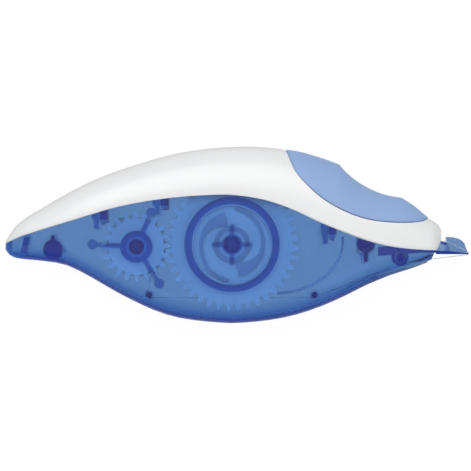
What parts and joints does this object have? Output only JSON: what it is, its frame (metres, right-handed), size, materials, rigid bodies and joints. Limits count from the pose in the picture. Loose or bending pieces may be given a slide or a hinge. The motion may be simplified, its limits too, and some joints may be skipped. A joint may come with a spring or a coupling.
{
  "type": "correction tape",
  "caption": "Pen-style correction tape: clear blue casing with geared reels inside, white saddle cover, soft finger grip and a narrow pressing tip.",
  "frame": {"origin": "on the resting side face, on the axis of the fresh reel", "axes": "+X to the tip, +Y to the white cover, +Z through the thickness, away from the resting face"},
  "size_m": [0.124, 0.0472, 0.016],
  "materials": {
    "clear_blue": "gloss",
    "white_gloss": "gloss",
    "soft_grip": "matte",
    "natural_white": "satin",
    "coated_film": "matte",
    "bare_film": "gloss"
  },
  "bodies": {
    "casing": {"near_shell": "clear_blue", "far_shell": "clear_blue", "top_cover": "white_gloss", "finger_grip": "soft_grip", "applicator_tip": "clear_blue", "tape_feed": "coated_film", "tape_return": "bare_film"},
    "drive_gear": {"supply_gear": "natural_white"},
    "supply_reel": {"clutch_spring": "natural_white", "supply_core": "natural_white", "supply_flange": "natural_white", "supply_tape": "coated_film"},
    "takeup_reel": {"takeup_gear": "natural_white", "takeup_core": "natural_white", "takeup_flange": "natural_white", "takeup_tape": "bare_film"}
  },
  "joints": [
    {"name": "supply_spin", "type": "hinge", "parent": "casing", "child": "drive_gear", "pos_m": [0, 0, 0.0123], "axis": [0, 0, 1], "continuous": true},
    {"name": "supply_slip", "type": "hinge", "parent": "drive_gear", "child": "supply_reel", "pos_m": [0, 0, 0.008], "axis": [0, 0, 1], "continuous": true},
    {"name": "takeup_spin", "type": "hinge", "parent": "casing", "child": "takeup_reel", "pos_m": [-0.02549, -0.0006, 0.008], "axis": [0, 0, 1], "continuous": true}
  ],
  "couplings": [
    {"joint": "takeup_spin", "follows": "supply_spin", "ratio": -2}
  ]
}
